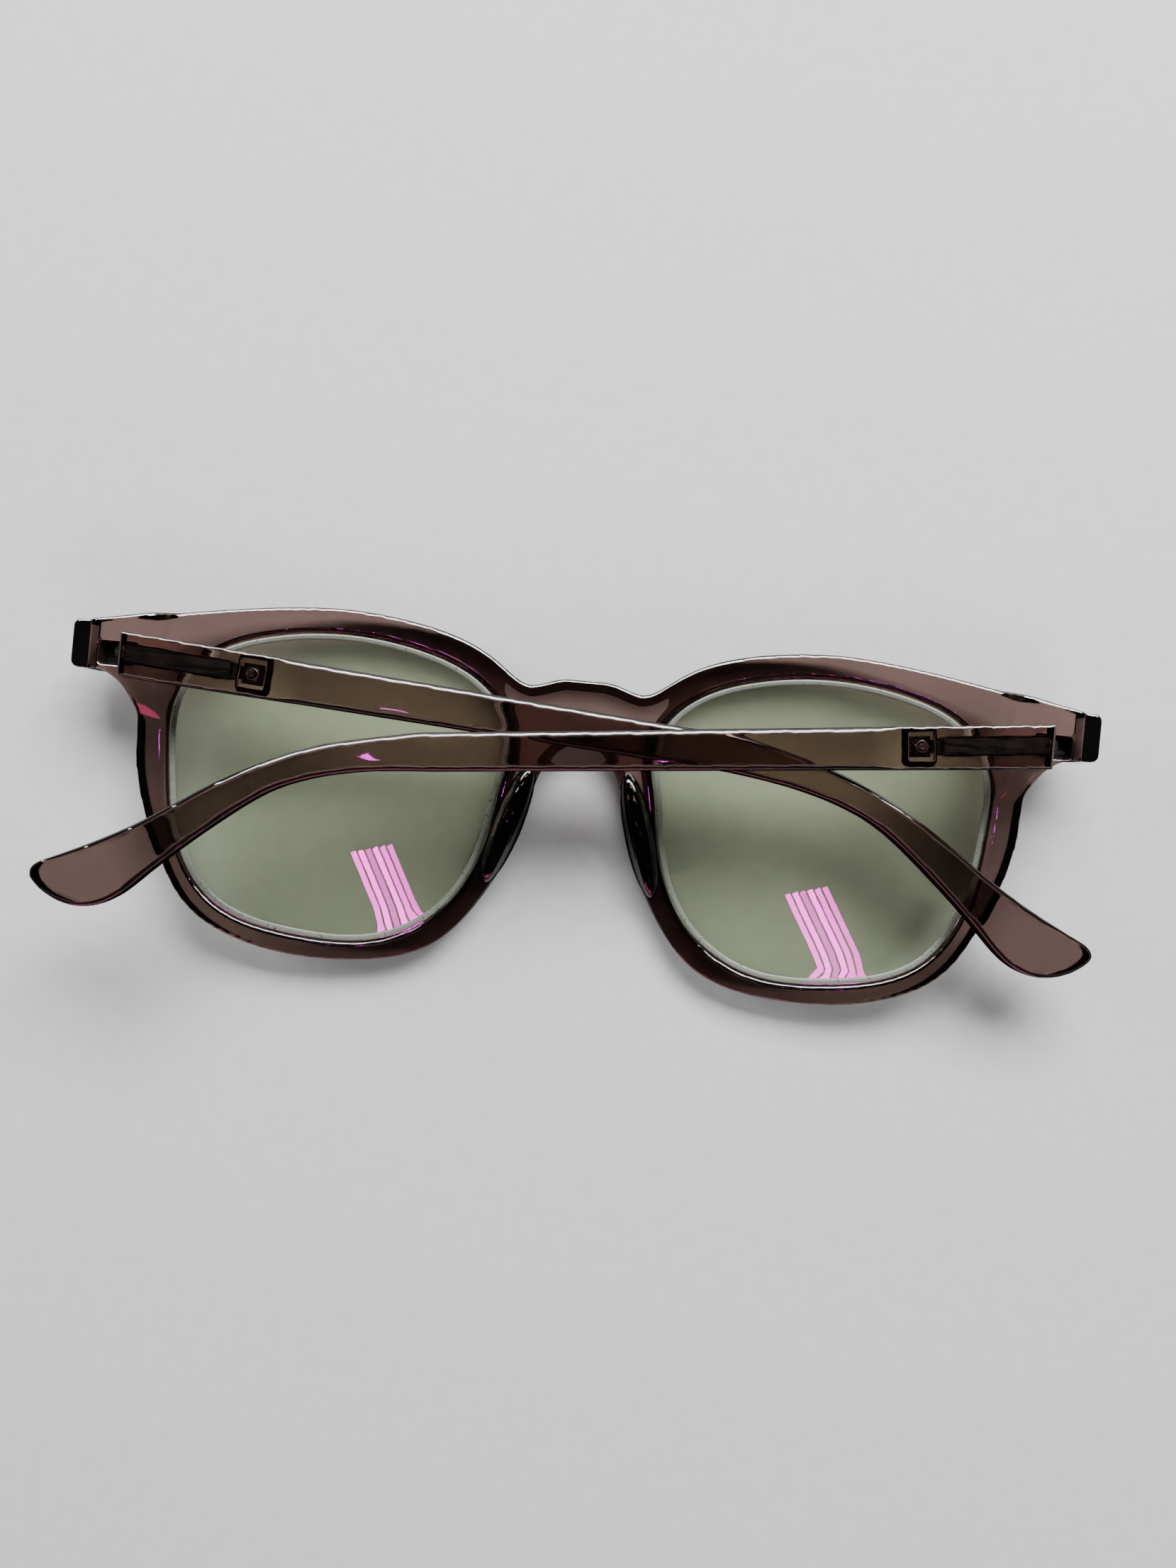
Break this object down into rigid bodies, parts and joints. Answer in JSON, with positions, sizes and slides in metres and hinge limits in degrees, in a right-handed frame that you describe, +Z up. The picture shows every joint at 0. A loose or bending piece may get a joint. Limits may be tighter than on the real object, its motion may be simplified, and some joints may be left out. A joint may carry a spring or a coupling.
{
  "type": "eyeglasses frame",
  "caption": "Eyeglasses in clear mauve-brown plastic with keyhole bridge, sprung hinges and folding paddle-ended temples, lying face down and folded.",
  "frame": {"origin": "On the surface that the front lies on, under the middle of the bounding box.", "axes": "+Z up from the surface, from the outer face of the front to its back; +Y to the browline; +X to the wearer's right."},
  "size_m": [0.1407, 0.0494, 0.0211],
  "materials": {
    "clear_frame": "clear mauve-brown cellulose acetate, polished, dark along thick edges",
    "lens": "clear lens with a faint green tint and a magenta anti-reflection coating",
    "pad": "thick dark clear plastic, polished",
    "black_trim": "solid black, polished, rounded edges",
    "dark_metal": "black-plated metal, fine brushed",
    "screw_metal": "dark polished metal",
    "spring_steel": "bright drawn spring wire"
  },
  "bodies": {
    "front": {"front_frame": "clear_frame", "left_lens": "lens", "left_nose_pad": "pad", "left_end_trim": "black_trim", "left_hinge_front_leaf": "dark_metal", "left_hinge_screw": "screw_metal", "right_lens": "lens", "right_nose_pad": "pad", "right_end_trim": "black_trim", "right_hinge_front_leaf": "dark_metal", "right_hinge_screw": "screw_metal"},
    "left_carriage": {"left_hinge_carriage": "dark_metal", "left_spring_stop": "screw_metal"},
    "left_temple": {"left_temple": "clear_frame", "left_hinge_housing": "dark_metal", "left_housing_screw": "screw_metal", "left_hinge_spring": "spring_steel"},
    "right_carriage": {"right_hinge_carriage": "dark_metal", "right_spring_stop": "screw_metal"},
    "right_temple": {"right_temple": "clear_frame", "right_hinge_housing": "dark_metal", "right_housing_screw": "screw_metal", "right_hinge_spring": "spring_steel"}
  },
  "joints": [
    {"name": "left_hinge", "type": "hinge", "parent": "front", "child": "left_carriage", "pos_m": [-0.0623, 0.01495, 0.01095], "axis": [0, -1, 0], "range_deg": [0, 91.7]},
    {"name": "left_spring_slide", "type": "slide", "parent": "left_carriage", "child": "left_temple", "axis": [0.9971, -0.0698, -0.0296], "range_m": [0, 0.0012], "stiffness_N_per_m": 4000, "springref_m": -0.001, "deforming": ["left_hinge_spring"]},
    {"name": "right_hinge", "type": "hinge", "parent": "front", "child": "right_carriage", "pos_m": [0.0623, 0.01425, 0.01095], "axis": [0, 1, 0], "range_deg": [0, 87.8]},
    {"name": "right_spring_slide", "type": "slide", "parent": "right_carriage", "child": "right_temple", "axis": [-0.9938, -0.1045, 0.0382], "range_m": [0, 0.0012], "stiffness_N_per_m": 4000, "springref_m": -0.001, "deforming": ["right_hinge_spring"]}
  ]
}
